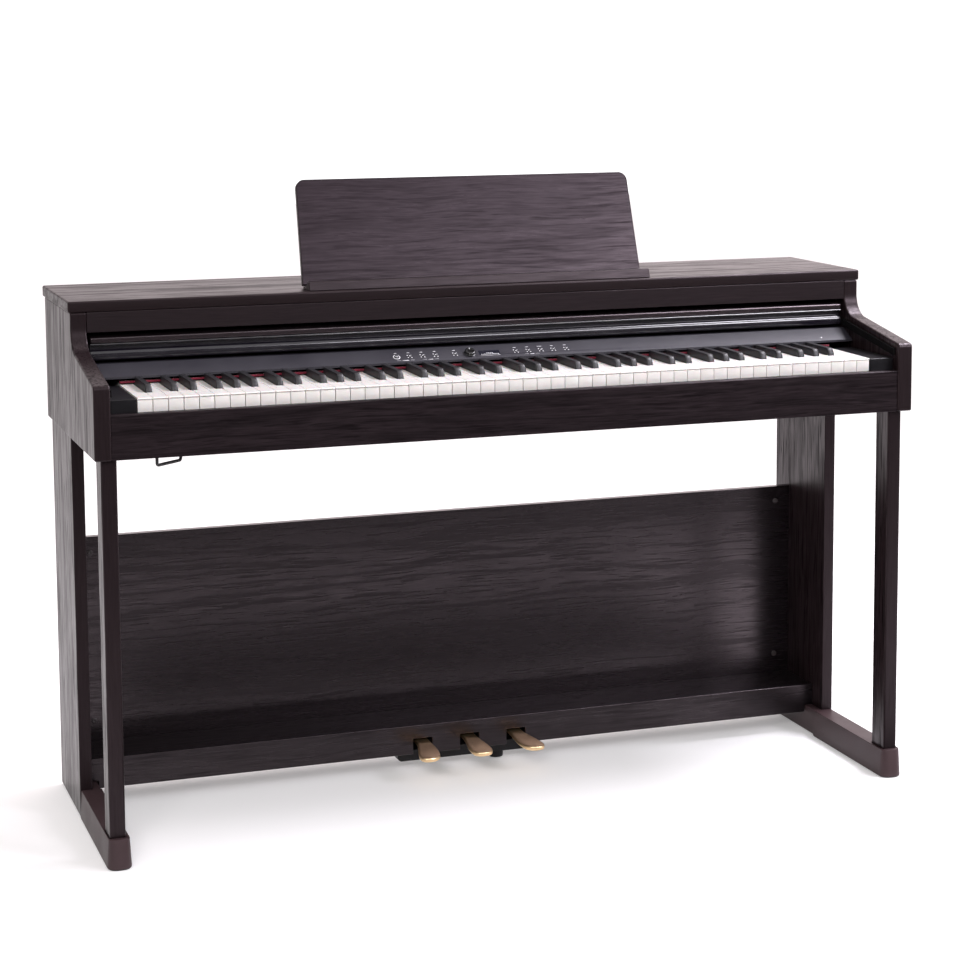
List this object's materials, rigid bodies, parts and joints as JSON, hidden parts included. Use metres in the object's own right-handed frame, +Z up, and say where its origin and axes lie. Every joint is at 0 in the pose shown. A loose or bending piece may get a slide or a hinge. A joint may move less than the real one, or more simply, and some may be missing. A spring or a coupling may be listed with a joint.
{
  "type": "digital piano",
  "caption": "Console digital piano on its own stand, with a weighted keyboard, sliding key cover, folding music rest, slanted control panel and a pedal unit in the base.",
  "frame": {"origin": "centre of the footprint, on the floor", "axes": "+X towards the treble end, the player sits at -Y, +Z up"},
  "size_m": [1.378, 0.468, 1.028],
  "materials": {
    "rosewood_side": "satin dark rosewood foil with upright grain",
    "rosewood_flat": "satin dark rosewood foil with grain along the piano",
    "rosewood_rest": "satin dark rosewood foil, fine level grain",
    "fascia_satin": "smooth satin near-black rosewood",
    "black_plastic": "satin moulded black",
    "red_felt": "felt",
    "steel": "zinc plated",
    "panel_black": "satin moulded black",
    "display_glass": "gloss smoked window",
    "dial_black": "gloss with satin top",
    "button_grey": "soft-touch moulded",
    "circuit_board": "green solder mask",
    "foot_brown": "fine textured moulded brown",
    "hook_black": "black coated wire",
    "cap_brown": "satin brown cap",
    "pedal_brass": "polished rim, satin top",
    "rubber_black": "moulded rubber",
    "key_white": "satin ivory-white",
    "key_black": "matte ebony-like black"
  },
  "bodies": {
    "cabinet": {"side_panel_left": "rosewood_side", "side_panel_right": "rosewood_side", "stand_board_left": "rosewood_side", "stand_board_right": "rosewood_side", "front_leg_left": "rosewood_side", "front_leg_right": "rosewood_side", "top_panel": "rosewood_flat", "rear_panel": "rosewood_flat", "bottom_board": "rosewood_flat", "key_slip": "rosewood_flat", "music_rest_ledge": "rosewood_flat", "back_board": "rosewood_flat", "pedal_beam": "rosewood_flat", "fascia": "fascia_satin", "key_blocks": "black_plastic", "cover_guides": "black_plastic", "jack_box": "black_plastic", "connector_panel": "black_plastic", "pedal_base_plate": "black_plastic", "speakers": "black_plastic", "key_felt": "red_felt", "key_chassis": "steel", "music_rest_hinges": "steel", "pedal_axle": "steel", "pedal_springs": "steel", "control_panel": "panel_black", "display_window": "display_glass", "main_board": "circuit_board", "foot_left": "foot_brown", "foot_right": "foot_brown", "headphone_hook": "hook_black", "screw_caps": "cap_brown"},
    "key_cover": {"key_cover": "rosewood_flat", "key_cover_grip": "black_plastic"},
    "music_rest": {"music_rest_panel": "rosewood_rest", "music_rest_straps": "steel"},
    "volume_dial": {"volume_dial": "dial_black"},
    "adjuster_foot": {"adjuster_foot": "rubber_black"},
    "pedal_left": {"pedal_left": "pedal_brass"},
    "pedal_middle": {"pedal_middle": "pedal_brass"},
    "pedal_right": {"pedal_right": "pedal_brass"},
    "bass_white_keys": {"bass_white_keys": "key_white"},
    "bass_black_keys": {"bass_black_keys": "key_black"},
    "treble_white_keys": {"treble_white_keys": "key_white"},
    "treble_black_keys": {"treble_black_keys": "key_black"},
    "key_c4": {"key_c4": "key_white"},
    "key_d4": {"key_d4": "key_white"},
    "key_e4": {"key_e4": "key_white"},
    "key_c_sharp4": {"key_c_sharp4": "key_black"},
    "key_d_sharp4": {"key_d_sharp4": "key_black"},
    "power_button": {"power_button": "button_grey"},
    "voice_button_1": {"voice_button_1": "button_grey"},
    "voice_button_2": {"voice_button_2": "button_grey"},
    "voice_button_3": {"voice_button_3": "button_grey"},
    "voice_button_4": {"voice_button_4": "button_grey"},
    "function_button_1": {"function_button_1": "button_grey"},
    "function_button_2": {"function_button_2": "button_grey"},
    "function_button_3": {"function_button_3": "button_grey"},
    "function_button_4": {"function_button_4": "button_grey"},
    "function_button_5": {"function_button_5": "button_grey"}
  },
  "joints": [
    {"name": "cover_slide", "type": "slide", "parent": "cabinet", "child": "key_cover", "axis": [0, -0.9871, -0.1599], "range_m": [0, 0.178]},
    {"name": "music_rest_fold", "type": "hinge", "parent": "cabinet", "child": "music_rest", "pos_m": [0, 0.0357, 0.8602], "axis": [-1, 0, 0], "range_deg": [0, 74]},
    {"name": "dial_turn", "type": "hinge", "parent": "cabinet", "child": "volume_dial", "pos_m": [-0.0365, -0.05476, 0.74304], "axis": [0, -0.4695, 0.8829], "continuous": true},
    {"name": "adjuster_turn", "type": "hinge", "parent": "cabinet", "child": "adjuster_foot", "pos_m": [0.064, 0.118, 0], "axis": [0, 0, 1], "continuous": true},
    {"name": "pedal_left_press", "type": "hinge", "parent": "cabinet", "child": "pedal_left", "pos_m": [-0.085, 0.13, 0.06], "axis": [1, 0, 0], "range_deg": [0, 5.5], "stiffness_Nm_per_rad": 12, "springref_deg": -5.73},
    {"name": "pedal_middle_press", "type": "hinge", "parent": "cabinet", "child": "pedal_middle", "pos_m": [0, 0.13, 0.06], "axis": [1, 0, 0], "range_deg": [0, 5.5], "stiffness_Nm_per_rad": 12, "springref_deg": -5.73},
    {"name": "pedal_right_press", "type": "hinge", "parent": "cabinet", "child": "pedal_right", "pos_m": [0.085, 0.13, 0.06], "axis": [1, 0, 0], "range_deg": [0, 5.5], "stiffness_Nm_per_rad": 12, "springref_deg": -5.73},
    {"name": "press_bass_white_keys", "type": "hinge", "parent": "cabinet", "child": "bass_white_keys", "pos_m": [-0.34365, 0.02, 0.709], "axis": [1, 0, 0], "range_deg": [0, 2.4], "stiffness_Nm_per_rad": 46, "springref_deg": -5.73},
    {"name": "press_bass_black_keys", "type": "hinge", "parent": "cabinet", "child": "bass_black_keys", "pos_m": [-0.34, 0.02, 0.709], "axis": [1, 0, 0], "range_deg": [0, 2.4], "stiffness_Nm_per_rad": 32, "springref_deg": -5.73},
    {"name": "press_treble_white_keys", "type": "hinge", "parent": "cabinet", "child": "treble_white_keys", "pos_m": [0.3081, 0.02, 0.709], "axis": [1, 0, 0], "range_deg": [0, 2.4], "stiffness_Nm_per_rad": 52, "springref_deg": -5.73},
    {"name": "press_treble_black_keys", "type": "hinge", "parent": "cabinet", "child": "treble_black_keys", "pos_m": [0.32, 0.02, 0.709], "axis": [1, 0, 0], "range_deg": [0, 2.4], "stiffness_Nm_per_rad": 36, "springref_deg": -5.73},
    {"name": "press_key_c4", "type": "hinge", "parent": "cabinet", "child": "key_c4", "pos_m": [-0.05925, 0.02, 0.709], "axis": [1, 0, 0], "range_deg": [0, 2.4], "stiffness_Nm_per_rad": 2, "springref_deg": -5.73},
    {"name": "press_key_d4", "type": "hinge", "parent": "cabinet", "child": "key_d4", "pos_m": [-0.03555, 0.02, 0.709], "axis": [1, 0, 0], "range_deg": [0, 2.4], "stiffness_Nm_per_rad": 2, "springref_deg": -5.73},
    {"name": "press_key_e4", "type": "hinge", "parent": "cabinet", "child": "key_e4", "pos_m": [-0.01185, 0.02, 0.709], "axis": [1, 0, 0], "range_deg": [0, 2.4], "stiffness_Nm_per_rad": 2, "springref_deg": -5.73},
    {"name": "press_key_c_sharp4", "type": "hinge", "parent": "cabinet", "child": "key_c_sharp4", "pos_m": [-0.0504, 0.02, 0.709], "axis": [1, 0, 0], "range_deg": [0, 2.4], "stiffness_Nm_per_rad": 2, "springref_deg": -5.73},
    {"name": "press_key_d_sharp4", "type": "hinge", "parent": "cabinet", "child": "key_d_sharp4", "pos_m": [-0.0207, 0.02, 0.709], "axis": [1, 0, 0], "range_deg": [0, 2.4], "stiffness_Nm_per_rad": 2, "springref_deg": -5.73},
    {"name": "press_power_button", "type": "slide", "parent": "cabinet", "child": "power_button", "axis": [0, 0.4695, -0.8829], "range_m": [0, 0.0008], "stiffness_N_per_m": 600, "springref_m": -0.0008},
    {"name": "press_voice_button_1", "type": "slide", "parent": "cabinet", "child": "voice_button_1", "axis": [0, 0.4695, -0.8829], "range_m": [0, 0.0008], "stiffness_N_per_m": 600, "springref_m": -0.0008},
    {"name": "press_voice_button_2", "type": "slide", "parent": "cabinet", "child": "voice_button_2", "axis": [0, 0.4695, -0.8829], "range_m": [0, 0.0008], "stiffness_N_per_m": 600, "springref_m": -0.0008},
    {"name": "press_voice_button_3", "type": "slide", "parent": "cabinet", "child": "voice_button_3", "axis": [0, 0.4695, -0.8829], "range_m": [0, 0.0008], "stiffness_N_per_m": 600, "springref_m": -0.0008},
    {"name": "press_voice_button_4", "type": "slide", "parent": "cabinet", "child": "voice_button_4", "axis": [0, 0.4695, -0.8829], "range_m": [0, 0.0008], "stiffness_N_per_m": 600, "springref_m": -0.0008},
    {"name": "press_function_button_1", "type": "slide", "parent": "cabinet", "child": "function_button_1", "axis": [0, 0.4695, -0.8829], "range_m": [0, 0.0008], "stiffness_N_per_m": 600, "springref_m": -0.0008},
    {"name": "press_function_button_2", "type": "slide", "parent": "cabinet", "child": "function_button_2", "axis": [0, 0.4695, -0.8829], "range_m": [0, 0.0008], "stiffness_N_per_m": 600, "springref_m": -0.0008},
    {"name": "press_function_button_3", "type": "slide", "parent": "cabinet", "child": "function_button_3", "axis": [0, 0.4695, -0.8829], "range_m": [0, 0.0008], "stiffness_N_per_m": 600, "springref_m": -0.0008},
    {"name": "press_function_button_4", "type": "slide", "parent": "cabinet", "child": "function_button_4", "axis": [0, 0.4695, -0.8829], "range_m": [0, 0.0008], "stiffness_N_per_m": 600, "springref_m": -0.0008},
    {"name": "press_function_button_5", "type": "slide", "parent": "cabinet", "child": "function_button_5", "axis": [0, 0.4695, -0.8829], "range_m": [0, 0.0008], "stiffness_N_per_m": 600, "springref_m": -0.0008}
  ]
}
